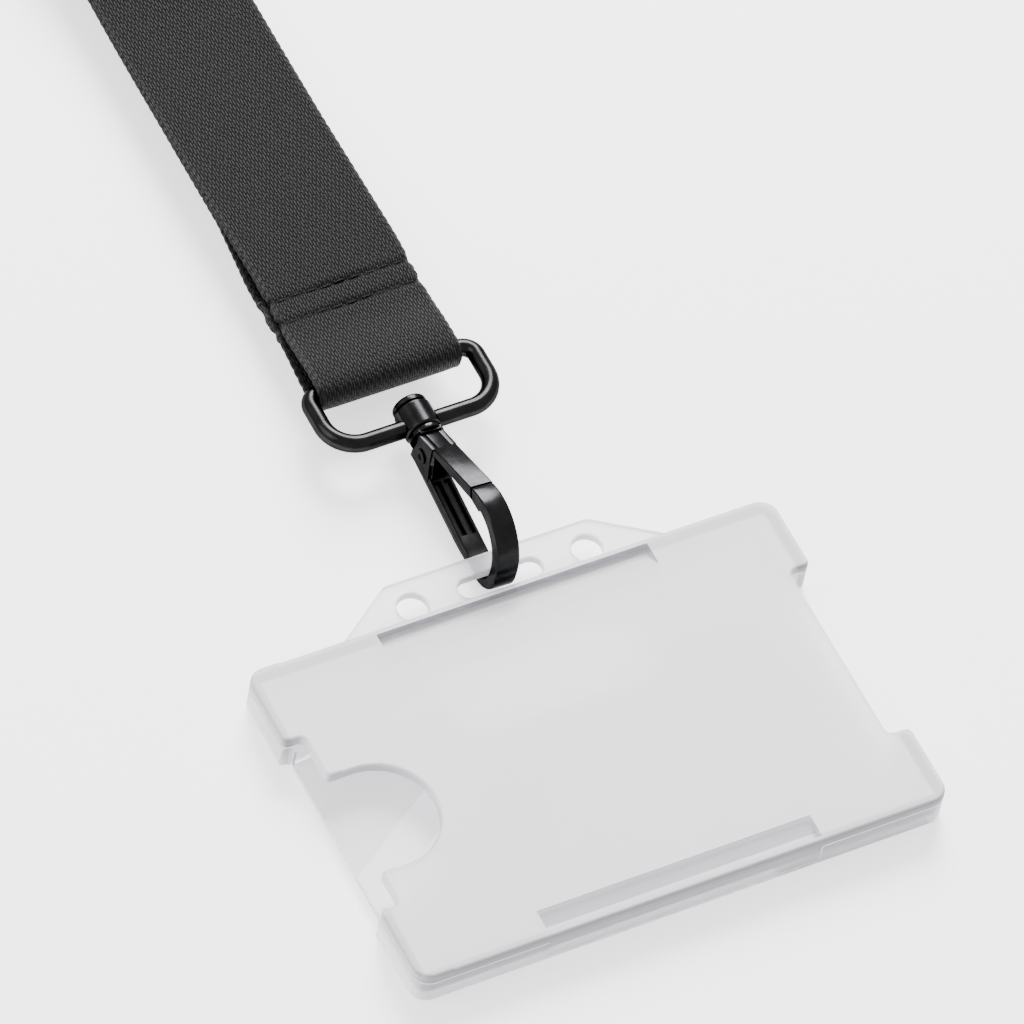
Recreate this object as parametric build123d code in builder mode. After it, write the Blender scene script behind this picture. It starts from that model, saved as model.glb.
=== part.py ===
"""Badge holder on a ribbon lanyard, lying on its back.

Millimetres. The origin is the middle of the card case's rear face, +X runs along the case's
long edge, +Y runs from the case to the lanyard, and +Z comes out of the case's front.
"""

import os
from math import acos, atan2, cos, hypot, radians, sin, tan

from build123d import *

os.makedirs("parts", exist_ok=True)

# Card case
case_w = 91.0  # along X
case_h = 60.6  # along Y
case_t = 6.8  # along Z
corner_r = 3.0
seam_z = 4.8  # where the front shell meets the rear shell
seam_groove = 0.25
rear_wall = 1.5
side_wall = 1.9
edge_round = 0.6
post_end_y = 16.4  # the corner posts end this far from the middle
front_left_notch = 3.4
front_right_notch = 3.8
rear_left_notch = 1.5
notch_r = 1.1

# Thumb cut in the front shell
thumb_r = 9.2
thumb_x = -37.6
thumb_y = -0.9
thumb_rim_r = 0.8

# Raised band at the left end and grooves on the front
step_x = -39.6
step_depth = 0.3
margin = 2.0  # how far a cutting outline reaches past the edge that it cuts
groove_half = 23.4
groove_in_y = 25.3
groove_slope_y = 27.9
groove_out_y = 29.35
groove_depth = 1.5
rib_depth = 1.3  # the back of each groove stands this far into the card space
rib_over = 0.3  # and this far past both sides of the groove's slope

# Rear plate
window_w = 35.0
window_h = 14.0
window_y = 16.0
window_r = 5.0
foot_inset = 0.5

# Hanging tab
tab_t = 1.6
tab_height = 7.9
tab_base_half = 29.0
tab_top_half = 17.6
tab_corner_r = 1.5
tab_hole_r = 2.5
tab_hole_x = 15.1
tab_slot_half = 7.2
tab_slot_r = 1.8
tab_line_y = 33.0  # the holes and the slot are centred on this line
tab_round = 0.35

# Line of the swivel, the ring and the ribbon
line_x = 0.5
line_z = 6.7
swivel_turn = 5.0  # degrees that the hook is turned about the swivel

# Hook, as (y, height over the floor) in its own middle plane
hook_w = 4.0
hook_base_y = 59.5
pin_y = 57.5
pin_z = 5.7
pin_r = 0.75
pin_head_r = 1.25
ear_r = 2.6
ear_t = 0.85
ear_outline = ((54.2, 3.0), (55.2, 6.9), (55.4, 8.6), (55.4, 10.0), (60.1, 8.4), (60.1, 3.0))
neck_outline = ((59.5, 2.6), (59.5, 9.0), (60.2, 9.0), (60.2, 3.2))
neck_half_w = 1.9
fit_gap = 0.05
press_gap = 0.01
bar_z = 0.35  # underside of the rear bar at the bight
bar_t = 1.45
bar_low_bend = (43.0, 20.0)  # place along Y and radius of the bend in its underside
bar_high_bend = (40.0, 15.0)
bar_top = (54.0, 3.7)
bar_base_z = (2.6, 3.8)  # underside and top of the bar at the base
bight_r = 4.56
bight_inner_r = 2.6
nose_y = 40.74  # centre of the nose's arcs
nose_z = 6.03
nose_r = 8.7
nose_inner_r = 6.57
nose_end = 68.0  # degrees from +Y at which the outer arc ends
nose_inner_end = 70.0
hook_round = 0.4
round_end_y = 53.5  # the long edges are rounded up to here
seam_r = 15.9  # the nose ends on this circle about the pin
gate_gap = 0.35
recess_w = 2.8
recess_rib_w = 0.5
recess_outline = ((43.6, 1.55), (43.6, 6.7), (53.6, 6.7), (53.6, 2.9))

# Gate lever with its pin and spring
root_r = 1.65
root_outline = ((59.1, 6.1), (59.1, 8.9), (54.0, 10.66), (54.0, 9.0), (55.9, 6.1))
root_play = 0.1
plate_y = 55.2
plate_z = (8.75, 10.25)  # underside and top of the thumb plate at the root
plate_end_z = (12.15, 14.05)  # and at the nose
plate_round = 0.3
tongue_outline = ((45.5, 12.9), (45.5, 10.9), (41.6, 10.9), (41.3, 11.9), (42.9, 11.55), (43.9, 12.4))
tongue_half_w = 1.2
pin_half = 2.1  # half the pin's length between its heads
pin_head_t = 0.24
dimple_r = 0.5
dimple_depth = 0.15
spring_room_r = 1.45
spring_room_half = 0.5
spring_mean_r = 1.12
spring_wire_r = 0.15
spring_pitch = 0.36
spring_long = 0.6

# Swivel
collar_r = 2.9
collar_y = 60.6
collar_t = 0.7
stem_r = 1.6
boss_r = 3.1
boss_low_y = 60.9
boss_high_y = 65.5
boss_round = 0.4
head_y = 65.8
head_t = 1.1
head_r = 2.9
head_round = 0.7

# Oval ring
wire_r = 1.45
ring_half_w = 14.35
ring_low_y = 62.65
ring_high_y = 73.7
ring_low_r = 5.2
ring_high_r = 2.2

# Ribbon
ribbon_w = 25.0
ribbon_t = 1.0
ribbon_gap = 0.1
loop_r = 2.2  # middle of the ribbon, about the ring's upper bar
sewn_y = 86.0  # from here on, the layers lie on each other
tail_y = 93.4
stitch_rows = {"stitch_row_lower": 87.5, "stitch_row_upper": 91.8}
stitch_r = 0.22
stitch_long = 2.0
stitch_pitch = 2.6
stitch_count = 9

# Hank
hank_y0 = 168.0
hank_y1 = 292.0
hank_top = 11.4
hank_round = 4.6
hank_side = 0.3  # the hank's runs wander this far past the ribbon's width
tie_w = 16.0
tie_t = 1.0
tie_play = 0.05
tie_round = 1.0
tie_y = 230.0


def write(part, name):
    part.part.label = name
    export_step(part.part, f"parts/{name}.step")


def arc_radii(points, share=0.45):
    """The largest tangent arc at each corner of a route, as 0.45 of its shorter run allows."""
    radii = []
    for a, b, c in zip(points, points[1:], points[2:]):
        run_in = hypot(b[0] - a[0], b[1] - a[1])
        run_out = hypot(c[0] - b[0], c[1] - b[1])
        turn = abs(atan2(c[1] - b[1], c[0] - b[0]) - atan2(b[1] - a[1], b[0] - a[0]))
        radii.append(share * min(run_in, run_out) / tan(turn / 2))
    return radii


# ---------------------------------------------------------------- card case


def case_outline(left_notch, right_notch):
    """The case from the front, with its short ends cut back between the corner posts."""
    with BuildSketch() as outline:
        Rectangle(case_w, case_h)
        fillet(outline.vertices(), corner_r)
        for side, depth in ((-1, left_notch), (1, right_notch)):
            with Locations((side * (case_w / 2 - depth / 2 + margin / 2), 0)):
                Rectangle(depth + margin, 2 * post_end_y, mode=Mode.SUBTRACT)
            for corner_x in (case_w / 2 - depth, case_w / 2):
                corners = outline.vertices().filter_by(
                    lambda v: abs(v.X - side * corner_x) < 0.01
                    and abs(abs(v.Y) - post_end_y) < 0.01
                )
                fillet(corners, min(notch_r, 0.45 * depth))
    return outline.sketch


with BuildSketch() as front_outline:
    add(case_outline(front_left_notch, front_right_notch))
    with Locations((thumb_x, thumb_y)):
        Circle(thumb_r, mode=Mode.SUBTRACT)
    with Locations((thumb_x - thumb_r / 2, thumb_y)):
        Rectangle(thumb_r, 2 * thumb_r, mode=Mode.SUBTRACT)
    rim = front_outline.vertices().filter_by(
        lambda v: abs(abs(v.Y - thumb_y) - thumb_r) < 0.01 and v.X < thumb_x - 2
    )
    fillet(rim, thumb_rim_r)



def front_slab(x_from, x_to, height):
    """The front's outline between two places along X, with its outer top edges rounded."""
    with BuildPart() as slab:
        with BuildSketch(Plane.XY.offset(seam_z)):
            add(front_outline.sketch)
            with Locations(((x_from + x_to) / 2, 0)):
                Rectangle(x_to - x_from, case_h + margin, mode=Mode.INTERSECT)
        extrude(amount=height - seam_z)
        outer_edges = slab.faces().group_by(Axis.Z)[-1].edges().filter_by(
            lambda e: abs(e.center().X - step_x) > 0.01
        )
        fillet(outer_edges, edge_round)
    return slab.part


# The field right of the step lies a little lower than the band at the left end.
band_slab = front_slab(-case_w / 2 - margin, step_x, case_t)
field_slab = front_slab(step_x, case_w / 2 + margin, case_t - step_depth)

with BuildPart() as front_shell:
    add(field_slab)
    add(band_slab)
    chamfer(front_shell.faces().sort_by(Axis.Z)[0].edges(), seam_groove)
    # Ribs behind the two grooves press the card against the rear plate.
    for side in (-1, 1):
        with BuildSketch(Plane.XY.offset(seam_z)):
            with Locations((0, side * (groove_slope_y + groove_in_y) / 2)):
                Rectangle(2 * groove_half, groove_slope_y - groove_in_y + 2 * rib_over)
        extrude(amount=-rib_depth)
        with BuildSketch(Plane.YZ):
            with BuildLine():
                Polyline(
                    (side * groove_in_y, case_t + margin),
                    (side * groove_in_y, case_t - step_depth - 0.1),
                    (side * groove_slope_y, case_t - groove_depth),
                    (side * groove_out_y, case_t - groove_depth),
                    (side * groove_out_y, case_t + margin),
                    close=True,
                )
            make_face()
        extrude(amount=groove_half, both=True, mode=Mode.SUBTRACT)
write(front_shell, "front_shell")

with BuildPart() as rear_shell:
    # Hanging tab
    with BuildSketch(Plane.XY.offset(seam_z - tab_t)):
        with BuildLine():
            Polyline(
                (-tab_base_half, case_h / 2),
                (-tab_top_half, case_h / 2 + tab_height),
                (tab_top_half, case_h / 2 + tab_height),
                (tab_base_half, case_h / 2),
                (tab_base_half - side_wall, case_h / 2 - side_wall),
                (side_wall - tab_base_half, case_h / 2 - side_wall),
                close=True,
            )
        tab_face = make_face()
        top_corners = tab_face.vertices().group_by(Axis.Y)[-1]
        fillet(top_corners, tab_corner_r)
        with Locations((-tab_hole_x, tab_line_y), (tab_hole_x, tab_line_y)):
            Circle(tab_hole_r, mode=Mode.SUBTRACT)
        with Locations((0, tab_line_y)):
            SlotOverall(2 * tab_slot_half, 2 * tab_slot_r, mode=Mode.SUBTRACT)
    extrude(amount=tab_t)
    tab_faces = rear_shell.faces().filter_by(Axis.Z)
    tab_edges = tab_faces.edges().filter_by(lambda e: e.center().Y > case_h / 2 + 0.2)
    fillet(tab_edges, tab_round)
    # Tray
    with BuildSketch():
        add(case_outline(rear_left_notch, front_right_notch))
    extrude(amount=seam_z)
    tray_bottom = rear_shell.faces().sort_by(Axis.Z)[0]
    chamfer(tray_bottom.edges(), edge_round)
    # Card space, open at both short ends between the corner posts
    with BuildSketch(Plane.XY.offset(rear_wall)):
        Rectangle(case_w - 2 * side_wall, case_h - 2 * side_wall)
        Rectangle(case_w + 2 * margin, 2 * post_end_y - 2 * notch_r)
    extrude(amount=seam_z - rear_wall, mode=Mode.SUBTRACT)
    # Window that shows the back of the card
    with BuildSketch():
        with Locations((0, window_y)):
            RectangleRounded(window_w, window_h, window_r)
    extrude(amount=rear_wall, mode=Mode.SUBTRACT)
    # Inset along the middle of the lower wall
    with BuildSketch(Plane.XY.offset(edge_round)):
        with Locations((0, -case_h / 2)):
            Rectangle(2 * groove_half, 2 * foot_inset)
    extrude(amount=seam_z, mode=Mode.SUBTRACT)
write(rear_shell, "rear_shell")


# ---------------------------------------------------------------- trigger hook

turn = radians(swivel_turn)
hook_axis = Vector(cos(turn), 0, -sin(turn))
hook_plane = Plane(origin=(line_x, 0, line_z), x_dir=(0, 1, 0), z_dir=hook_axis)
swivel_plane = Plane(origin=(line_x, 0, line_z), x_dir=hook_axis, z_dir=(0, 1, 0))


def at(y, z):
    """A point of the hook's middle plane, from its place along Y and its height."""
    return (y, z - line_z)


def outline_at(points):
    """The outline's points in the hook's middle plane."""
    return [at(y, z) for y, z in points]


def on_seam(z, radius):
    """The point at height z on the circle about the pin that the gate's end follows."""
    return at(pin_y - (radius**2 - (z - pin_z) ** 2) ** 0.5, z)


with BuildPart() as hook_body:
    with BuildSketch(hook_plane.offset(-hook_w / 2)):
        with BuildLine():
            bar_low = FilletPolyline(
                at(hook_base_y, bar_base_z[0]),
                at(bar_low_bend[0], bar_z),
                at(nose_y - nose_r + bight_r, bar_z),
                radius=bar_low_bend[1],
            )
            bight_outer = JernArc(bar_low @ 1, (-1, 0), bight_r, -90)
            nose_outer = CenterArc(at(nose_y, nose_z), nose_r, 180, nose_end - 180)
            Line(bight_outer @ 1, nose_outer @ 0)
            nose_inner = CenterArc(at(nose_y, nose_z), nose_inner_r, nose_inner_end, 180 - nose_inner_end)
            Line(nose_outer @ 1, nose_inner @ 0)
            bight_inner = JernArc(
                at(nose_y - nose_inner_r, bar_z + bar_t + bight_inner_r), (0, -1), bight_inner_r, 90
            )
            Line(nose_inner @ 1, bight_inner @ 0)
            bar_high = FilletPolyline(
                bight_inner @ 1,
                at(bar_high_bend[0], bar_z + bar_t),
                at(*bar_top),
                radius=bar_high_bend[1],
            )
            Polyline(bar_high @ 1, at(hook_base_y, bar_base_z[1]), at(hook_base_y, bar_base_z[0]))
        make_face()
    extrude(amount=hook_w)
    long_edges = hook_body.edges().filter_by(
        lambda e: e.center().Y < round_end_y and abs(e.tangent_at(0.5).dot(hook_axis)) < 0.2
    )
    fillet(long_edges, hook_round)
    # Recess in the rear bar, in two halves beside a rib
    for side in (-1, 1):
        with BuildSketch(hook_plane.offset(side * recess_rib_w / 2)):
            with BuildLine():
                Polyline(*outline_at(recess_outline), close=True)
            make_face()
        extrude(amount=side * (recess_w - recess_rib_w) / 2, mode=Mode.SUBTRACT)
    # Ears that carry the pin, with the lever's root between them
    for side in (-1, 1):
        with BuildSketch(hook_plane.offset(side * (pin_half - ear_t / 2))):
            with Locations(at(pin_y, pin_z)):
                Circle(ear_r)
            with BuildLine():
                Polyline(*outline_at(ear_outline), close=True)
            make_face()
            with Locations(at(pin_y, pin_z)):
                Circle(pin_r + press_gap, mode=Mode.SUBTRACT)
        extrude(amount=ear_t / 2, both=True)
    # Neck, collar and stem
    with BuildSketch(hook_plane):
        with BuildLine():
            Polyline(*outline_at(neck_outline), close=True)
        make_face()
    extrude(amount=neck_half_w, both=True)
    with BuildSketch(swivel_plane.offset(collar_y - collar_t)):
        Circle(collar_r)
    extrude(amount=collar_t)
    with BuildSketch(swivel_plane.offset(collar_y)):
        Circle(stem_r)
    extrude(amount=head_y + head_t - collar_y)
write(hook_body, "hook_body")

with BuildPart() as swivel_head:
    with BuildSketch(swivel_plane.offset(head_y)):
        Circle(head_r)
    extrude(amount=head_t)
    fillet(swivel_head.faces().sort_by(Axis.Y)[-1].edges(), head_round)
    with BuildSketch(swivel_plane.offset(head_y)):
        Circle(stem_r)
    extrude(amount=head_t, mode=Mode.SUBTRACT)
write(swivel_head, "swivel_head")

lever_r = seam_r - gate_gap
root_half_w = pin_half - ear_t - root_play
with BuildPart() as gate_lever:
    # Root between the ears
    with BuildSketch(hook_plane):
        with Locations(at(pin_y, pin_z)):
            Circle(root_r)
        with BuildLine():
            Polyline(*outline_at(root_outline), close=True)
        make_face()
    extrude(amount=root_half_w, both=True)
    # Thumb plate over the full width, up to the nose
    with BuildSketch(hook_plane):
        with BuildLine():
            Polyline(
                at(plate_y, plate_z[1]),
                on_seam(plate_end_z[1], lever_r),
                on_seam(plate_end_z[0], lever_r),
                at(plate_y, plate_z[0]),
                close=True,
            )
        make_face()
    extrude(amount=hook_w / 2, both=True)
    plate_edges = gate_lever.edges().filter_by(
        lambda e: e.center().Y < plate_y and abs(e.tangent_at(0.5).Y) > 0.7 and e.length > 5
    )
    fillet(plate_edges, plate_round)
    # Tongue that closes under the nose
    with BuildSketch(hook_plane):
        with BuildLine():
            Polyline(*outline_at(tongue_outline), close=True)
        make_face()
    extrude(amount=tongue_half_w, both=True)
    # Room for the spring, and the bore
    with BuildSketch(hook_plane):
        with Locations(at(pin_y, pin_z)):
            Circle(spring_room_r)
    extrude(amount=spring_room_half, both=True, mode=Mode.SUBTRACT)
    with BuildSketch(hook_plane):
        with Locations(at(pin_y, pin_z)):
            Circle(pin_r + fit_gap)
    extrude(amount=hook_w, both=True, mode=Mode.SUBTRACT)
write(gate_lever, "gate_lever")

with BuildPart() as gate_pin:
    with BuildSketch(hook_plane):
        with Locations(at(pin_y, pin_z)):
            Circle(pin_r)
    extrude(amount=pin_half, both=True)
    for side in (-1, 1):
        with BuildSketch(hook_plane.offset(side * (pin_half + pin_head_t / 2))):
            with Locations(at(pin_y, pin_z)):
                Circle(pin_head_r)
        extrude(amount=pin_head_t / 2, both=True)
        with BuildSketch(hook_plane.offset(side * (pin_half + pin_head_t))):
            with Locations(at(pin_y, pin_z)):
                Circle(dimple_r)
        extrude(amount=dimple_depth, both=True, mode=Mode.SUBTRACT)
write(gate_pin, "gate_pin")

pin_centre = hook_plane.from_local_coords(Vector(*at(pin_y, pin_z)))
with BuildPart() as gate_spring:
    with BuildLine():
        coil_line = Helix(
            pitch=spring_pitch,
            height=spring_long,
            radius=spring_mean_r,
            center=pin_centre - hook_axis * (spring_long / 2),
            direction=hook_axis,
        )
    with BuildSketch(Plane(origin=coil_line @ 0, z_dir=coil_line % 0)):
        Circle(spring_wire_r)
    sweep(path=coil_line, is_frenet=True)
write(gate_spring, "gate_spring")


# ---------------------------------------------------------------- oval ring

ring_plane = Plane.XY.offset(line_z)
with BuildPart() as oval_ring:
    with BuildLine(ring_plane) as ring_line:
        FilletPolyline(
            (line_x + ring_half_w, ring_low_y),
            (line_x + ring_half_w, ring_high_y),
            (line_x - ring_half_w, ring_high_y),
            (line_x - ring_half_w, ring_low_y),
            close=True,
            radius=[ring_low_r, ring_high_r, ring_high_r, ring_low_r],
        )
    ring_path = ring_line.wires()[0]
    with BuildSketch(Plane(origin=ring_path @ 0, z_dir=ring_path % 0)):
        Circle(wire_r)
    sweep(path=ring_path)
    with BuildSketch(swivel_plane.offset(boss_low_y)):
        Circle(boss_r)
    extrude(amount=boss_high_y - boss_low_y)
    boss_rims = oval_ring.edges().filter_by(GeomType.CIRCLE).filter_by(
        lambda e: abs(e.radius - boss_r) < 0.01 and e.length > 18
    )
    fillet(boss_rims, boss_round)
    with BuildSketch(swivel_plane.offset(boss_low_y)):
        Circle(stem_r + fit_gap)
    extrude(amount=boss_high_y - boss_low_y, mode=Mode.SUBTRACT)
write(oval_ring, "oval_ring")


# ---------------------------------------------------------------- ribbon

layer = (ribbon_t + ribbon_gap) / 2
reach = hypot(sewn_y - ring_high_y, layer)
lean = acos(loop_r / reach) + atan2(layer, sewn_y - ring_high_y)
touch_y = ring_high_y + loop_r * cos(lean)
touch_z = loop_r * sin(lean)

with BuildPart() as strap_fold:
    with BuildSketch(Plane.YZ.offset(line_x)):
        with BuildLine():
            Polyline((tail_y, line_z - layer), (sewn_y, line_z - layer), (touch_y, line_z - touch_z))
            ThreePointArc(
                (touch_y, line_z - touch_z),
                (ring_high_y - loop_r, line_z),
                (touch_y, line_z + touch_z),
            )
            Polyline((touch_y, line_z + touch_z), (sewn_y, line_z + layer), (tail_y, line_z + layer))
        trace(line_width=ribbon_t)
    extrude(amount=ribbon_w / 2, both=True)
write(strap_fold, "strap_fold")

# The two strands sag a little between the sewn end and the hank.
front_route = [(tail_y + 0.05, line_z + layer), (132.0, 6.9), (hank_y0 - 0.05, 7.9)]
rear_route = [
    (sewn_y, line_z - 3 * layer),
    (tail_y, line_z - 3 * layer),
    (100.0, 5.95),
    (132.0, 5.8),
    (hank_y0 - 0.05, 6.8),
]
front_radii = arc_radii(front_route)
rear_radii = arc_radii(rear_route)
print("front strand radii", [round(r) for r in front_radii])
print("rear strand radii", [round(r) for r in rear_radii])

with BuildPart() as strand_front:
    with BuildSketch(Plane.YZ.offset(line_x)):
        with BuildLine():
            FilletPolyline(*front_route, radius=front_radii)
        trace(line_width=ribbon_t)
    extrude(amount=ribbon_w / 2, both=True)
write(strand_front, "strand_front")

with BuildPart() as strand_rear:
    with BuildSketch(Plane.YZ.offset(line_x)):
        with BuildLine():
            FilletPolyline(*rear_route, radius=rear_radii)
        trace(line_width=ribbon_t)
    extrude(amount=ribbon_w / 2, both=True)
write(strand_rear, "strand_rear")

for row_name, row_y in stitch_rows.items():
    with BuildPart() as stitches:
        with BuildSketch(Plane.YZ.offset(line_x - stitch_long / 2)):
            with Locations((row_y, line_z + 2 * layer + stitch_r)):
                Circle(stitch_r)
        extrude(amount=stitch_long)
        one_stitch = stitches.part
        for i in range(1, stitch_count // 2 + 1):
            with Locations((i * stitch_pitch, 0, 0), (-i * stitch_pitch, 0, 0)):
                add(one_stitch)
    write(stitches, row_name)

with BuildPart() as neck_hank:
    with BuildSketch(Plane.YZ.offset(line_x)):
        with Locations(((hank_y0 + hank_y1) / 2, hank_top / 2)):
            RectangleRounded(hank_y1 - hank_y0, hank_top, hank_round)
    extrude(amount=ribbon_w / 2 + hank_side, both=True)
write(neck_hank, "neck_hank")

tie_inside_w = ribbon_w + 2 * (hank_side + tie_play)
with BuildPart() as hank_tie:
    with BuildSketch(Plane.XZ.offset(-tie_y)):
        with Locations((line_x, hank_top / 2 + tie_t / 2)):
            RectangleRounded(tie_inside_w + 2 * tie_t, hank_top + tie_t, tie_round)
        with Locations((line_x, hank_top / 2)):
            Rectangle(tie_inside_w, hank_top + 2 * tie_play, mode=Mode.SUBTRACT)
    extrude(amount=tie_w / 2, both=True)
write(hank_tie, "hank_tie")
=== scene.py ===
"""Badge holder on a ribbon lanyard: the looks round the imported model.

Metres, in the part's own frame. The holder lies on its back on z = 0, +X runs along its long edge
and +Y runs from it to the lanyard.
"""

import math

import bmesh
import bpy
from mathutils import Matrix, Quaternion, Vector


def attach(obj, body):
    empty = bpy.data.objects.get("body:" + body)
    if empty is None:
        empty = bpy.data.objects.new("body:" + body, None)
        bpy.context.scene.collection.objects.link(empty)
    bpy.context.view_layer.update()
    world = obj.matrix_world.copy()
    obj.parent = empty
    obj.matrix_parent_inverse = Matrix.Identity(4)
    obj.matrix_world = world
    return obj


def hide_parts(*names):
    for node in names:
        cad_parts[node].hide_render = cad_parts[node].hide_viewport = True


MM = 0.001
WHITE = (1.0, 1.0, 1.0)

# Camera: angles in degrees, lens and film in millimetres
CAMERA_AZIMUTH = -36.1
CAMERA_ELEVATION = 53.16
CAMERA_ROLL = 11.7
CAMERA_TARGET = (7.6 * MM, 43.9 * MM, 4.0 * MM)
CAMERA_DISTANCE = 1.5646
CAMERA_LENS = 356.0
CAMERA_FILM = 36.0

# Studio: a pale floor that glows a little, a white world and two round lamps
FLOOR_HALF = 3.0
FLOOR_GLOW = 1.4
LAMP_TARGET = (0.0, 0.04, 0.0)
KEY_PLACE = (0.45, 0.95, 0.78)
KEY_SIZE = 0.8
KEY_WATTS = 56.0
FILL_PLACE = (-0.8, 0.2, 0.9)
FILL_SIZE = 0.9
FILL_WATTS = 6.0

# Case: painted shade on its long walls, the faces turned along its Y axis: they get this share of the
# plastic's colour
PAINTED_WALL_SHADE = (0.45, 0.45, 0.48)

# Castings: how far apart vertices merge, which faces count as flat, and which edges are broken
WELD_DISTANCE = 0.002 * MM
FLAT_ANGLE = math.radians(0.6)
SHARP_ANGLE = math.radians(32)
BEVEL_STEPS = 3
HOOK_BEVEL = 0.18 * MM
LEVER_BEVEL = 0.2 * MM
BLACKEST = (0.015, 0.015, 0.0157)
RUBBED = (0.026, 0.026, 0.027)
EDGE_TINT = (0.48, 0.48, 0.48, 1.0)

# Ribbon: its middle lies at x = RIBBON_X
RIBBON_WIDTH = 25.0 * MM
RIBBON_THICK = 1.0 * MM
RIBBON_X = 0.5 * MM

# Half of the ribbon's section, from its edge inwards, as shares of the half width and half thickness.
# The selvedge is a slanted cord along each edge, with small scallops.
HALF_SECTION = (
    (1.0, 0.1),
    (0.985, 0.62),
    (0.955, 0.95),
    (0.92, 0.86),
    (0.75, 1.0),
    (0.5, 1.0),
    (0.25, 1.0),
)
SELVEDGE_FROM = 0.94
SELVEDGE_WIDTH = 1.0 * MM
SELVEDGE_SLANT = 2.2 * MM
SCALLOP_PITCH = 1.65 * MM
SCALLOP_DEPTH = 0.16 * MM

# Steps along the ribbon: fine where it is seen, turn steps where it bends, and coarse elsewhere
SPLINE_STEPS = 24
SEEN_END_Y = 160.0 * MM
TURN_ANGLE = 0.02
FINE_STEP = 0.27 * MM
TURN_STEP = 0.5 * MM
COARSE_STEP = 1.5 * MM

# Satin weave: one yarn's width, one float's length, and each yarn's offset in floats
YARN_WIDTH = 0.42 * MM
FLOAT_LENGTH = 1.35 * MM
FLOAT_OFFSET = 0.382

# Sewn rows: each dents the ribbon, most at every stitch, and pulls its edges in
ROW_YS = (87.5 * MM, 91.8 * MM)
ROW_DENT = 0.5 * MM
ROW_SPREAD = 0.62 * MM
DENT_WAVE = 0.28
ROW_PINCH = 0.3 * MM
PINCH_SPREAD = 1.3 * ROW_SPREAD
FRONT_SEWN_FROM = 30.0 * MM  # the front ribbon has come round the ring's bar by here

# Stitches: arched threads whose ends dip into the ribbon, a little slanted and out of line
STITCH_COUNT = 9
STITCH_PITCH = 2.55 * MM
STITCH_LENGTH = 2.15 * MM
STITCH_X = 0.8 * MM
STITCH_Z = 7.45 * MM
STITCH_SLANT = 0.12 * MM
STITCH_POINTS = 7
LOWER_WANDER = 0.1 * MM
UPPER_WANDER = 0.14 * MM
WANDER_TURN = 2.1
ROW_TURN = 0.4
THREAD_RADIUS = 0.2 * MM
THREAD_ARCH = 0.2 * MM
THREAD_DIP = 0.16 * MM
THREAD_SIDES = 7
THREAD_TAPER = 0.35

# Tie round the hank: a closed band, rounder above than below
TIE_Y = 230.0 * MM
TIE_WIDTH = 16.0 * MM
TIE_THICK = 0.9 * MM
TIE_LOW = 0.03 * MM
TIE_HIGH = 11.95 * MM
TIE_PLAY = 0.35 * MM
TIE_UPPER_R = 2.4 * MM
TIE_LOWER_R = 1.3 * MM
TIE_CORNER_POINTS = 7
TIE_RINGS = (-1.0, -0.97, -0.9, -0.5, 0.0, 0.5, 0.9, 0.97, 1.0)  # shares of its half width
TIE_EDGE_FROM = 0.95
TIE_EDGE_DROP = 0.14 * MM
TIE_RIPPLE = 0.06 * MM
RIPPLE_ROUND = 9.0
RIPPLE_ACROSS = 3.0

# Routes of the two ribbons in the plane of symmetry, as (y, z) in millimetres.
# The front one starts at its sewn tail, goes round the ring's bar and up into the hank.
FRONT_ROUTE = (
    (93.4, 6.15),
    (88.5, 6.15),
    (84.0, 6.05),
    (77.6, 4.75),
    (71.55, 4.2),
    (71.55, 9.2),
    (77.6, 8.85),
    (84.0, 7.45),
    (88.5, 7.25),
    (93.4, 7.25),
    (104.0, 7.2),
    (132.0, 6.9),
    (152.0, 7.0),
    (164.0, 8.0),
    (174.0, 10.3),
    (186.0, 10.45),
    (228.0, 10.3),
    (270.0, 10.5),
    (282.0, 10.45),
    (289.25, 10.45),
    (289.25, 4.95),
    (282.0, 4.95),
    (250.0, 5.1),
    (215.0, 5.0),
    (184.0, 4.95),
    (175.35, 4.95),
    (175.35, 1.65),
    (184.0, 1.65),
    (208.0, 1.65),
    (220.0, 2.6),
    (240.0, 2.6),
    (252.0, 1.65),
    (272.0, 1.65),
    (282.8, 1.75),
    (282.8, 0.5),
    (277.0, 0.55),
)
REAR_ROUTE = (
    (86.0, 5.05),
    (93.4, 5.05),
    (101.0, 5.75),
    (132.0, 5.75),
    (152.0, 5.85),
    (165.0, 6.9),
    (176.0, 9.25),
    (188.0, 9.35),
    (228.0, 9.2),
    (268.0, 9.35),
    (281.0, 9.35),
    (288.15, 9.35),
    (288.15, 6.05),
    (281.0, 6.05),
    (250.0, 6.2),
    (215.0, 6.1),
    (185.0, 6.05),
    (174.25, 6.05),
    (174.25, 0.55),
    (185.0, 0.55),
    (208.0, 0.55),
    (220.0, 1.5),
    (240.0, 1.5),
    (252.0, 0.55),
    (270.0, 0.55),
    (276.0, 0.55),
)

# How far each ribbon stands to the right of its route, as (length along it, shift) in millimetres.
# The sewn tail shows at the left of the layer over it, and so does the start of the rear ribbon.
FRONT_SHIFTS = ((22.0, -0.75), (50.0, 0.35), (76.0, 0.0))
REAR_SHIFTS = ((12.0, -0.55), (24.0, 0.4), (70.0, 0.4), (140.0, 0.0))


# ---------------------------------------------------------------- helpers


def link(obj):
    bpy.context.scene.collection.objects.link(obj)
    return obj


def mesh_object(name, vertices, faces):
    """A smooth-shaded object in the scene."""
    mesh = bpy.data.meshes.new(name)
    mesh.from_pydata([tuple(v) for v in vertices], [], faces)
    mesh.update()
    mesh.polygons.foreach_set("use_smooth", [True] * len(mesh.polygons))
    return link(bpy.data.objects.new(name, mesh))


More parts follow.
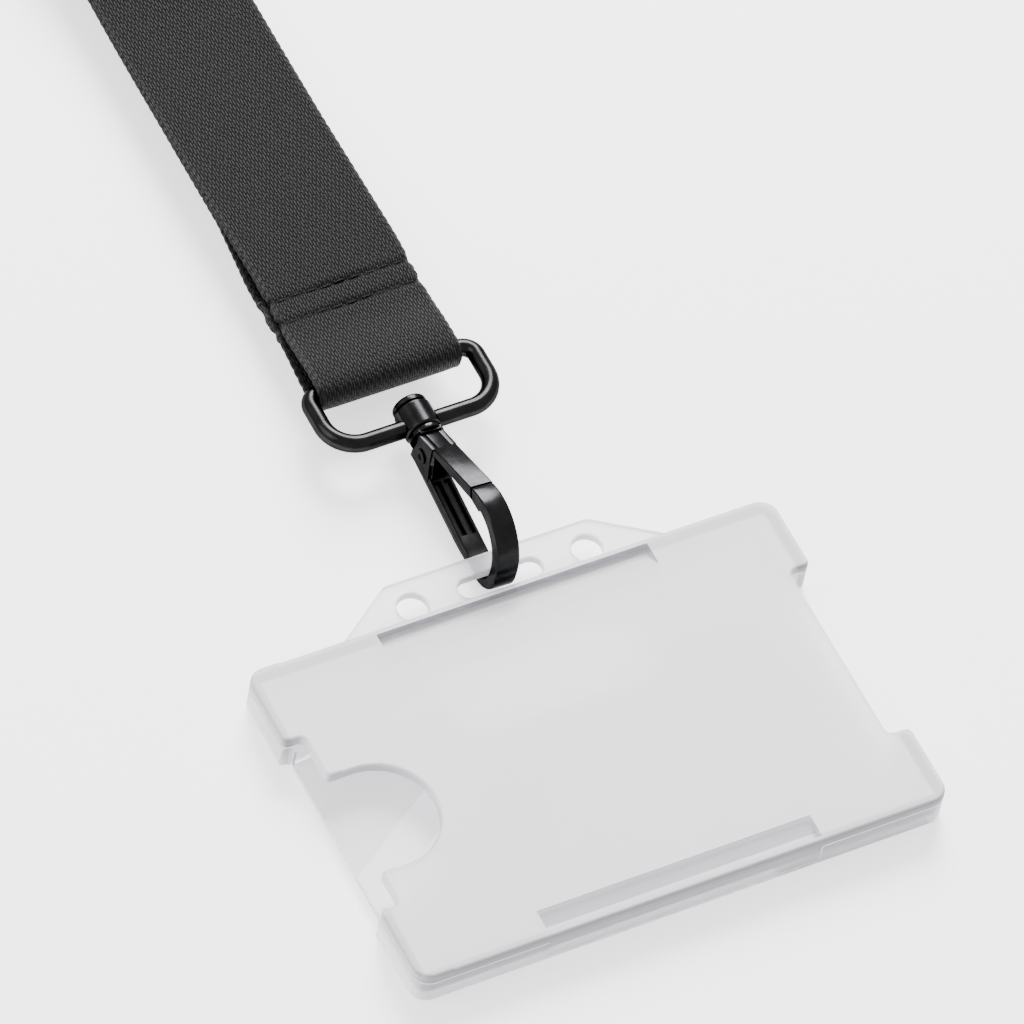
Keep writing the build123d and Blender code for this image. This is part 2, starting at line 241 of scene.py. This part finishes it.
def tube_faces(rings, count):
    """Faces of a tube made of rings of vertices, with a flat cap at each end."""
    faces = []
    for k in range(rings - 1):
        for j in range(count):
            a = k * count + j
            b = k * count + (j + 1) % count
            faces.append((a, b, b + count, a + count))
    faces.append(tuple(reversed(range(count))))
    faces.append(tuple(range((rings - 1) * count, rings * count)))
    return faces


def paint(obj, material):
    """Puts one material in every slot of a piece or a CAD node."""
    if obj.material_slots:
        for holder in obj.material_slots:
            holder.material = material
    else:
        obj.data.materials.append(material)


class Nodes:
    """A short way to build a material's node tree."""

    def __init__(self, name):
        self.material = bpy.data.materials.new(name)
        self.material.use_nodes = True
        self.tree = self.material.node_tree
        self.shader = self.tree.nodes["Principled BSDF"]

    def new(self, kind, **values):
        node = self.tree.nodes.new(kind)
        for key, value in values.items():
            setattr(node, key, value)
        return node

    def feed(self, source, target):
        if isinstance(source, (int, float)):
            target.default_value = source
        else:
            self.tree.links.new(source, target)

    def maths(self, operation, a, b=0.0, clamp=False):
        node = self.new("ShaderNodeMath", operation=operation, use_clamp=clamp)
        self.feed(a, node.inputs[0])
        self.feed(b, node.inputs[1])
        return node.outputs[0]

    def add(self, a, b, clamp=False):
        return self.maths("ADD", a, b, clamp)

    def minus(self, a, b):
        return self.maths("SUBTRACT", a, b)

    def times(self, a, b):
        return self.maths("MULTIPLY", a, b)

    def over(self, a, b, clamp=False):
        return self.maths("DIVIDE", a, b, clamp)

    def half_wave(self, turns):
        """The sine of half a turn: 0 at 0, 1 at a half and 0 again at 1."""
        return self.maths("SINE", self.times(turns, math.pi))

    def noise(self, scale, detail=3.0, rough=0.5):
        node = self.new("ShaderNodeTexNoise")
        node.inputs["Scale"].default_value = scale
        node.inputs["Detail"].default_value = detail
        node.inputs["Roughness"].default_value = rough
        self.feed(self.place(), node.inputs["Vector"])
        return node.outputs["Fac"]

    def place(self):
        return self.new("ShaderNodeTexCoord").outputs["Object"]

    def uv(self):
        split = self.new("ShaderNodeSeparateXYZ")
        self.feed(self.new("ShaderNodeTexCoord").outputs["UV"], split.inputs[0])
        return split.outputs[0], split.outputs[1]

    def turned_to_y(self):
        """How far the surface faces along the piece's own Y axis, either way: 0 to 1."""
        split = self.new("ShaderNodeSeparateXYZ")
        self.feed(self.new("ShaderNodeTexCoord").outputs["Normal"], split.inputs[0])
        return self.maths("ABSOLUTE", split.outputs[1])

    def ramp(self, fac, stops):
        node = self.new("ShaderNodeValToRGB")
        ramp = node.color_ramp
        while len(ramp.elements) < len(stops):
            ramp.elements.new(0.5)
        for element, (place, colour) in zip(ramp.elements, stops):
            element.position = place
            element.color = (*colour, 1.0)
        self.feed(fac, node.inputs["Fac"])
        return node.outputs["Color"]

    def span(self, fac, low, high):
        node = self.new("ShaderNodeMapRange")
        self.feed(fac, node.inputs["Value"])
        node.inputs["To Min"].default_value = low
        node.inputs["To Max"].default_value = high
        return node.outputs["Result"]

    def tinted(self, colour, tint):
        node = self.new("ShaderNodeVectorMath", operation="MULTIPLY")
        self.feed(colour, node.inputs[0])
        self.feed(tint, node.inputs[1])
        return node.outputs[0]

    def bump(self, height, distance, strength=1.0, below=None):
        node = self.new("ShaderNodeBump")
        node.inputs["Strength"].default_value = strength
        node.inputs["Distance"].default_value = distance
        self.feed(height, node.inputs["Height"])
        if below is not None:
            self.feed(below, node.inputs["Normal"])
        return node.outputs["Normal"]

    def set(self, **values):
        for key, value in values.items():
            socket = self.shader.inputs[key.replace("_", " ")]
            if hasattr(value, "is_linked"):
                self.tree.links.new(value, socket)
            else:
                socket.default_value = value


# ---------------------------------------------------------------- materials


def frosted_plastic(name, clear, matt):
    """Moulded polypropylene with a fine matt skin and faint flow marks, and painted shade on its long
    walls, the faces turned along its Y axis.
    """
    n = Nodes(name)
    flow = n.ramp(n.noise(38.0, 2.0), [(0.3, (0.935, 0.935, 0.965)), (0.75, (0.96, 0.96, 0.985))])
    # painted shade: the more a face turns along the piece's Y axis, as the long walls do, the darker it
    # is painted
    painted_wall_shade = n.ramp(n.turned_to_y(), [(0.12, WHITE), (0.95, PAINTED_WALL_SHADE)])
    rough = n.span(n.noise(260.0, 3.0), matt - 0.05, matt + 0.05)
    grain = n.bump(n.noise(5200.0, 2.0), 0.03 * MM, 0.35)
    wave = n.bump(n.noise(90.0, 2.0), 0.12 * MM, 0.25, below=grain)
    n.set(Base_Color=n.tinted(flow, painted_wall_shade), Roughness=rough, Normal=wave)
    n.set(Transmission_Weight=clear, IOR=1.35, Specular_IOR_Level=0.35)
    return n.material


def black_plating(name):
    """Glossy black plating over a die casting, with faint orange peel and rubbed spots."""
    n = Nodes(name)
    colour = n.ramp(n.noise(420.0, 5.0, rough=0.6), [(0.35, BLACKEST), (0.8, RUBBED)])
    rough = n.span(n.noise(900.0, 4.0), 0.16, 0.28)
    peel = n.bump(n.noise(1500.0, 2.0), 0.015 * MM, 0.3)
    n.set(Base_Color=colour, Roughness=rough, Normal=peel)
    n.set(Metallic=1.0, Specular_Tint=EDGE_TINT)
    return n.material


def spring_steel(name):
    """Drawn wire with a mottled shine."""
    n = Nodes(name)
    mottle = n.noise(2600.0, 2.0)
    n.set(Base_Color=n.ramp(mottle, [(0.3, (0.36, 0.36, 0.37)), (0.7, (0.55, 0.55, 0.56))]))
    n.set(Roughness=n.span(mottle, 0.22, 0.4), Metallic=1.0)
    return n.material


def satin_floats(n, across, along):
    """Height of the satin's floats, from 0 between them to 1 on a crown. Each yarn is a little later."""
    column = n.over(across, YARN_WIDTH)
    late = n.times(n.maths("FLOOR", column), FLOAT_OFFSET)
    run = n.add(n.add(n.over(along, FLOAT_LENGTH), late), n.noise(1300.0, 2.0))
    side = n.half_wave(n.maths("FRACT", column))
    crown = n.maths("MAXIMUM", n.half_wave(n.maths("FRACT", run)), 0.001)
    return n.times(side, n.maths("POWER", crown, 0.6))


def slanted_cord(n, off_middle, along):
    """Height of the slanted cord along each edge of the ribbon."""
    slant = n.add(n.over(along, SCALLOP_PITCH), n.over(off_middle, SELVEDGE_SLANT))
    return n.maths("ABSOLUTE", n.half_wave(slant))


def woven_ribbon(name, rows):
    """Black polyester satin ribbon, with painted shade between its floats, painted highlight on their
    crowns and painted shade in the grooves of its sewn rows. UV is metres across and along the ribbon.
    """
    n = Nodes(name)
    across, along = n.uv()
    off_middle = n.maths("ABSOLUTE", n.minus(across, RIBBON_WIDTH / 2))
    in_selvedge = n.maths("GREATER_THAN", off_middle, RIBBON_WIDTH / 2 - SELVEDGE_WIDTH)
    satin = satin_floats(n, across, along)
    selvedge = n.add(n.times(slanted_cord(n, off_middle, along), 0.4), n.times(satin, 0.5))
    yarn = n.add(n.times(satin, n.minus(1.0, in_selvedge)), n.times(selvedge, in_selvedge))
    fuzz = n.noise(3800.0, 3.0)
    # painted shade and painted highlight: the colour follows the relief of the floats and the selvedge
    # cord, dark between them and lighter on their crowns; the fuzz adds random tone
    tone_with_painted_light = n.add(n.times(yarn, 0.72), n.times(fuzz, 0.36), clamp=True)
    # painted shade in the groove of each sewn row: the weave is darkened there
    for row in rows:
        off_row = n.maths("ABSOLUTE", n.minus(along, row))
        shade = n.over(off_row, ROW_SPREAD, clamp=True)
        tone_with_painted_light = n.times(tone_with_painted_light, n.add(n.times(shade, 0.6), 0.4))
    colour = n.ramp(tone_with_painted_light, [
        (0.2, (0.0003, 0.0003, 0.0004)),
        (0.55, (0.0044, 0.0044, 0.0047)),
        (0.95, (0.031, 0.031, 0.033)),
    ])
    relief = n.bump(n.add(yarn, n.times(fuzz, 0.3)), 0.2 * MM)
    n.set(Base_Color=colour, Roughness=n.span(fuzz, 0.45, 0.65), Normal=relief)
    n.set(Specular_IOR_Level=0.12)
    return n.material


def sewing_thread(name):
    """Twisted black thread."""
    n = Nodes(name)
    twist = n.new("ShaderNodeTexWave", wave_type="BANDS", bands_direction="DIAGONAL")
    twist.inputs["Scale"].default_value = 900.0
    twist.inputs["Distortion"].default_value = 1.5
    n.feed(n.place(), twist.inputs["Vector"])
    ply = twist.outputs["Fac"]
    colour = n.ramp(ply, [(0.1, (0.001, 0.001, 0.001)), (0.9, (0.007, 0.007, 0.0075))])
    n.set(Base_Color=colour, Roughness=0.6, Normal=n.bump(ply, 0.05 * MM, 0.8))
    n.set(Specular_IOR_Level=0.1)
    return n.material


def looped_band(name):
    """Napped hook-and-loop band."""
    n = Nodes(name)
    loops = n.new("ShaderNodeTexVoronoi")
    loops.inputs["Scale"].default_value = 1700.0
    n.feed(n.place(), loops.inputs["Vector"])
    nap = loops.outputs["Distance"]
    colour = n.ramp(nap, [(0.05, (0.014, 0.014, 0.015)), (0.7, (0.003, 0.003, 0.0033))])
    n.set(Base_Color=colour, Roughness=0.85, Normal=n.bump(nap, 0.3 * MM, 0.8))
    n.set(Sheen_Weight=0.04, Specular_IOR_Level=0.15)
    return n.material


def pale_floor(name):
    """A plain pale floor that glows, so that it stays even round the object."""
    n = Nodes(name)
    n.set(Base_Color=n.ramp(n.noise(3.0), [(0.3, (0.93, 0.93, 0.93)), (0.7, (0.95, 0.95, 0.95))]))
    n.set(Roughness=0.9, Specular_IOR_Level=0.1)
    n.set(Emission_Color=(*WHITE, 1.0), Emission_Strength=FLOOR_GLOW)
    return n.material


# ---------------------------------------------------------------- castings


def bevelled_copy(node, body, material, width):
    """The CAD node's own shape with its sharp edges broken, as on a polished casting."""
    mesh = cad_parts[node].data.copy()
    mesh.name = node + "_polished"
    obj = link(bpy.data.objects.new(mesh.name, mesh))
    shape = bmesh.new()
    shape.from_mesh(mesh)
    bmesh.ops.remove_doubles(shape, verts=shape.verts, dist=WELD_DISTANCE)
    bmesh.ops.dissolve_limit(shape, angle_limit=FLAT_ANGLE, verts=shape.verts, edges=shape.edges)
    shape.to_mesh(mesh)
    shape.free()
    mesh.polygons.foreach_set("use_smooth", [True] * len(mesh.polygons))
    bevel = obj.modifiers.new("broken_edges", "BEVEL")
    bevel.width = width
    bevel.segments = BEVEL_STEPS
    bevel.limit_method = "ANGLE"
    bevel.angle_limit = SHARP_ANGLE
    bevel.harden_normals = True
    paint(obj, material)
    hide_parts(node)
    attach(obj, body)


# ---------------------------------------------------------------- ribbons


def route_line(name, route):
    """Points read from the NURBS curve of a route."""
    data = bpy.data.curves.new(name, "CURVE")
    data.dimensions = "3D"
    data.resolution_u = SPLINE_STEPS
    spline = data.splines.new("NURBS")
    spline.points.add(len(route) - 1)
    for point, (y, z) in zip(spline.points, route):
        point.co = (RIBBON_X, y * MM, z * MM, 1.0)
    spline.order_u = 3
    spline.use_endpoint_u = True
    curve = link(bpy.data.objects.new(name, data))
    evaluated = curve.evaluated_get(bpy.context.evaluated_depsgraph_get())
    mesh = bpy.data.meshes.new_from_object(evaluated)
    line = [v.co.copy() for v in mesh.vertices]
    bpy.data.objects.remove(curve)
    bpy.data.curves.remove(data)
    bpy.data.meshes.remove(mesh)
    return line


def resample(line):
    """Points along the line, each with its arc length, close together where the ribbon is seen."""
    lengths = [0.0]
    for a, b in zip(line, line[1:]):
        lengths.append(lengths[-1] + (b - a).length)
    samples = []
    s = 0.0
    i = 0
    while s < lengths[-1]:
        while lengths[i + 1] < s:
            i += 1
        share = (s - lengths[i]) / (lengths[i + 1] - lengths[i])
        point = line[i].lerp(line[i + 1], share)
        samples.append((s, point))
        inner = 0 < i < len(line) - 2
        turning = inner and (line[i + 1] - line[i]).angle(line[i] - line[i - 1], 0) > TURN_ANGLE
        if point.y < SEEN_END_Y:
            s += FINE_STEP
        elif turning:
            s += TURN_STEP
        else:
            s += COARSE_STEP
    samples.append((lengths[-1], line[-1].copy()))
    return samples


def shift_at(shifts, s):
    """The shift at a length along the ribbon, straight between the given ones."""
    place, shift = shifts[0]
    if s <= place * MM:
        return shift * MM
    for next_place, next_shift in shifts[1:]:
        if s < next_place * MM:
            share = (s / MM - place) / (next_place - place)
            return (shift + share * (next_shift - shift)) * MM
        place, shift = next_place, next_shift
    return shift * MM


def near_rows(y, spread):
    """1 at the middle of a sewn row, falling to 0 away from it."""
    return sum(math.exp(-(((y - row) / spread) ** 2)) for row in ROW_YS)


def row_length(samples, row_y, sewn_from):
    """How far along the ribbon its sewn layer meets a row."""
    layer = [(s, point) for s, point in samples if s >= sewn_from]
    return min(layer, key=lambda sample: abs(sample[1].y - row_y))[0]


def ribbon_section():
    """Points round the section: across, height and side. Side 1 is up where the ribbon runs to +Y."""
    left = [(-across, height) for across, height in HALF_SECTION]
    profile = [*left, (0.0, 1.0), *reversed(HALF_SECTION)]
    return [(*point, 1) for point in profile] + [(*point, -1) for point in reversed(profile)]


def ribbon(name, route, shifts, dented_side, sewn_from, nodes):
    """A woven ribbon along a route. From sewn_from on, the sewn rows dent one side of it."""
    samples = resample(route_line(name + "_line", route))
    section = ribbon_section()
    half = RIBBON_WIDTH / 2
    last = len(samples) - 1
    vertices, uvs = [], []
    for k, (s, centre) in enumerate(samples):
        forward = samples[min(k + 1, last)][1] - samples[max(k - 1, 0)][1]
        up = Vector((1, 0, 0)).cross(forward.normalized())
        middle = centre + Vector((shift_at(shifts, s), 0, 0))
        scallop = SCALLOP_DEPTH * (1 - math.sqrt(abs(math.sin(math.pi * s / SCALLOP_PITCH))))
        pinch = ROW_PINCH * near_rows(centre.y, PINCH_SPREAD)
        dent = ROW_DENT * near_rows(centre.y, ROW_SPREAD) if s >= sewn_from else 0.0
        for across, height, side in section:
            narrowing = scallop + pinch if abs(across) > SELVEDGE_FROM else pinch / 2
            x = across * (half - narrowing)
            lift = height * RIBBON_THICK / 2
            if side == dented_side:
                lift -= dent * (1 - DENT_WAVE + DENT_WAVE * math.cos(2 * math.pi * x / STITCH_PITCH))
            vertices.append(middle + Vector((x, 0, 0)) + up * (side * lift))
            uvs.append((half * (1 + across), s))
    obj = mesh_object(name, vertices, tube_faces(len(samples), len(section)))
    layer = obj.data.uv_layers.new(name="ribbon")
    for loop in obj.data.loops:
        layer.data[loop.index].uv = uvs[loop.vertex_index]
    rows = [row_length(samples, row_y, sewn_from) for row_y in ROW_YS]
    paint(obj, woven_ribbon(name + "_weave", rows))
    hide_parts(*nodes)
    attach(obj, "lanyard")
    return obj, [tuple(point) for s, point in samples]


def thread(points):
    """Vertices and faces of one stitch through the points, thinner at both ends."""
    vertices = []
    last = len(points) - 1
    for k, point in enumerate(points):
        forward = (points[min(k + 1, last)] - points[max(k - 1, 0)]).normalized()
        side = forward.orthogonal().normalized()
        up = forward.cross(side)
        radius = THREAD_RADIUS * (THREAD_TAPER if k in (0, last) else 1.0)
        for j in range(THREAD_SIDES):
            angle = 2 * math.pi * j / THREAD_SIDES
            vertices.append(point + side * (radius * math.cos(angle)) + up * (radius * math.sin(angle)))
    return vertices, tube_faces(len(points), THREAD_SIDES)


def stitch_row(name, row_y, wander):
    """One sewn row: arched threads that dive into the ribbon at both ends, not quite in line."""
    vertices, faces = [], []
    for i in range(STITCH_COUNT):
        x = STITCH_X + (i - (STITCH_COUNT - 1) / 2) * STITCH_PITCH
        y = row_y + wander * math.sin(WANDER_TURN * i + ROW_TURN * row_y / MM)
        points = []
        for k in range(STITCH_POINTS):
            t = k / (STITCH_POINTS - 1) - 0.5
            rise = THREAD_ARCH * math.cos(math.pi * t) - THREAD_DIP
            points.append(Vector((x + t * STITCH_LENGTH, y + t * STITCH_SLANT, STITCH_Z + rise)))
        more, shape = thread(points)
        faces += [tuple(len(vertices) + v for v in face) for face in shape]
        vertices += more
    obj = mesh_object(name + "_thread", vertices, faces)
    paint(obj, sewing_thread(name + "_thread"))
    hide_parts(name)
    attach(obj, "lanyard")


# ---------------------------------------------------------------- tie


def tie_outline(half_x, middle_z):
    """Points (x, z) round the band, from its right side over the top."""
    half_z = (TIE_HIGH - TIE_LOW) / 2
    outline = []
    for sx, sz, start in ((1, 1, 0), (-1, 1, 90), (-1, -1, 180), (1, -1, 270)):
        r = TIE_UPPER_R if sz > 0 else TIE_LOWER_R
        for k in range(TIE_CORNER_POINTS):
            angle = math.radians(start + 90 * k / (TIE_CORNER_POINTS - 1))
            x = RIBBON_X + sx * (half_x - r) + r * math.cos(angle)
            z = middle_z + sz * (half_z - r) + r * math.sin(angle)
            outline.append(Vector((x, 0, z)))
    return outline


def band_faces(rows, count):
    """Faces of a closed band: its outer side, its inner side and its two rims."""
    inner = rows * count
    faces = []
    for i in range(rows):
        for k in range(count):
            a = i * count + k
            b = i * count + (k + 1) % count
            rim = (a, b, inner + b, inner + a)
            if i == 0:
                faces.append(tuple(reversed(rim)))
            if i == rows - 1:
                faces.append(rim)
            else:
                faces.append((a, b, b + count, a + count))
                faces.append((inner + b, inner + a, inner + a + count, inner + b + count))
    return faces


def tie_band():
    """A closed band pulled round the hank, a little uneven outside, except underneath."""
    half_x = RIBBON_WIDTH / 2 + TIE_PLAY + TIE_THICK
    middle_z = (TIE_LOW + TIE_HIGH) / 2
    centre = Vector((RIBBON_X, 0, middle_z))
    outline = tie_outline(half_x, middle_z)
    outer, inner = [], []
    for place in TIE_RINGS:
        y = TIE_Y + place * TIE_WIDTH / 2
        drop = TIE_EDGE_DROP if abs(place) > TIE_EDGE_FROM else 0.0
        for k, point in enumerate(outline):
            out = (point - centre).normalized()
            ripple = TIE_RIPPLE * math.sin(RIPPLE_ROUND * k + RIPPLE_ACROSS * place)
            skin = point + out * ((ripple if point.z > MM else 0.0) - drop)
            outer.append(Vector((skin.x, y, max(skin.z, TIE_LOW))))
            x = RIBBON_X + (point.x - RIBBON_X) * (1 - TIE_THICK / half_x)
            z = middle_z + (point.z - middle_z) * (1 - 2 * TIE_THICK / (TIE_HIGH - TIE_LOW))
            inner.append(Vector((x, y, z)))
    obj = mesh_object("hank_tie_band", outer + inner, band_faces(len(TIE_RINGS), len(outline)))
    paint(obj, looped_band("hank_tie_nap"))
    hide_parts("hank_tie")
    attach(obj, "lanyard")
    return obj


# ---------------------------------------------------------------- stage


def round_lamp(name, place, size, watts):
    """A disc of light, aimed at the object."""
    data = bpy.data.lights.new(name, "AREA")
    data.shape = "DISK"
    data.size = size
    data.energy = watts
    lamp = link(bpy.data.objects.new(name, data))
    lamp.location = place
    lamp.rotation_mode = "QUATERNION"
    lamp.rotation_quaternion = (Vector(LAMP_TARGET) - Vector(place)).to_track_quat("-Z", "Y")


def build_stage():
    corners = [(sx * FLOOR_HALF, sy * FLOOR_HALF, 0) for sx, sy in ((-1, -1), (1, -1), (1, 1), (-1, 1))]
    floor = mesh_object("floor", corners, [(0, 1, 2, 3)])
    paint(floor, pale_floor("floor_pale"))
    world = bpy.data.worlds.new("studio")
    bpy.context.scene.world = world
    world.use_nodes = True
    background = world.node_tree.nodes["Background"]
    background.inputs["Color"].default_value = (*WHITE, 1.0)
    background.inputs["Strength"].default_value = 1.0
    round_lamp("key", KEY_PLACE, KEY_SIZE, KEY_WATTS)
    round_lamp("fill", FILL_PLACE, FILL_SIZE, FILL_WATTS)


def build_camera():
    azimuth = math.radians(CAMERA_AZIMUTH)
    elevation = math.radians(CAMERA_ELEVATION)
    back = Vector((
        math.sin(azimuth) * math.cos(elevation),
        -math.cos(azimuth) * math.cos(elevation),
        math.sin(elevation),
    ))
    data = bpy.data.cameras.new("camera")
    data.lens = CAMERA_LENS
    data.sensor_width = CAMERA_FILM
    data.clip_start = 0.05
    data.clip_end = 50.0
    camera = link(bpy.data.objects.new("camera", data))
    camera.rotation_mode = "QUATERNION"
    level = (-back).to_track_quat("-Z", "Y")
    camera.rotation_quaternion = level @ Quaternion((0, 0, 1), math.radians(CAMERA_ROLL))
    camera.location = Vector(CAMERA_TARGET) + back * CAMERA_DISTANCE
    bpy.context.scene.camera = camera


# ---------------------------------------------------------------- scene

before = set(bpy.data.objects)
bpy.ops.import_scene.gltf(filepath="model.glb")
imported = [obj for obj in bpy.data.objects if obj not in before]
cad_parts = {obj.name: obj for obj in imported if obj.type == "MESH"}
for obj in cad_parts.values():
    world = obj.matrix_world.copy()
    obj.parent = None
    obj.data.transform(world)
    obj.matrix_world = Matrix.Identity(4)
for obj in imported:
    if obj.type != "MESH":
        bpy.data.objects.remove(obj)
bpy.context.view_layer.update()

build_stage()
build_camera()

front, front_path = ribbon(
    "ribbon_front", FRONT_ROUTE, FRONT_SHIFTS, 1, FRONT_SEWN_FROM,
    ("strap_fold", "strand_front", "neck_hank"),
)
rear, rear_path = ribbon("ribbon_rear", REAR_ROUTE, REAR_SHIFTS, -1, 0.0, ("strand_rear",))
band = tie_band()
stitch_row("stitch_row_lower", ROW_YS[0], LOWER_WANDER)
stitch_row("stitch_row_upper", ROW_YS[1], UPPER_WANDER)

paint(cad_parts["front_shell"], frosted_plastic("front_frosted", clear=0.46, matt=0.47))
paint(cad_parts["rear_shell"], frosted_plastic("rear_frosted", clear=0.62, matt=0.34))
paint(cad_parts["swivel_head"], black_plating("head_plating"))
paint(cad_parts["gate_pin"], black_plating("pin_plating"))
paint(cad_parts["oval_ring"], black_plating("ring_plating"))
paint(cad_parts["gate_spring"], spring_steel("spring_wire"))
bevelled_copy("hook_body", "hook", black_plating("hook_plating"), HOOK_BEVEL)
bevelled_copy("gate_lever", "gate", black_plating("lever_plating"), LEVER_BEVEL)
